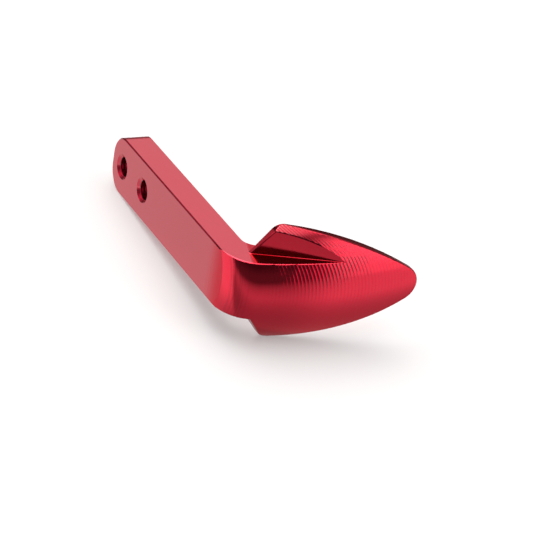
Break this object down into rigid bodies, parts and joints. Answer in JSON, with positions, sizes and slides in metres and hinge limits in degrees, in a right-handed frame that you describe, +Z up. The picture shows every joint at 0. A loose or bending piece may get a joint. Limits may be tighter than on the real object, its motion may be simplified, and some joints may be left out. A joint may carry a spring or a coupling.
{
  "type": "lever guard",
  "caption": "Milled lever guard: straight bar with tapped mounting holes, rounded bend and a leaf-shaped blade with a pocket along its upper side.",
  "frame": {"origin": "middle of the mounting-hole pattern on the bar's outer face", "axes": "+X from the bar's outer face towards the blade's tip, +Y along the bar away from the blade, +Z up across the bar's height"},
  "size_m": [0.0485, 0.0768, 0.03],
  "materials": {
    "anodised": "satin red anodised"
  },
  "bodies": {
    "root": {"lever_guard": "anodised"}
  },
  "joints": []
}
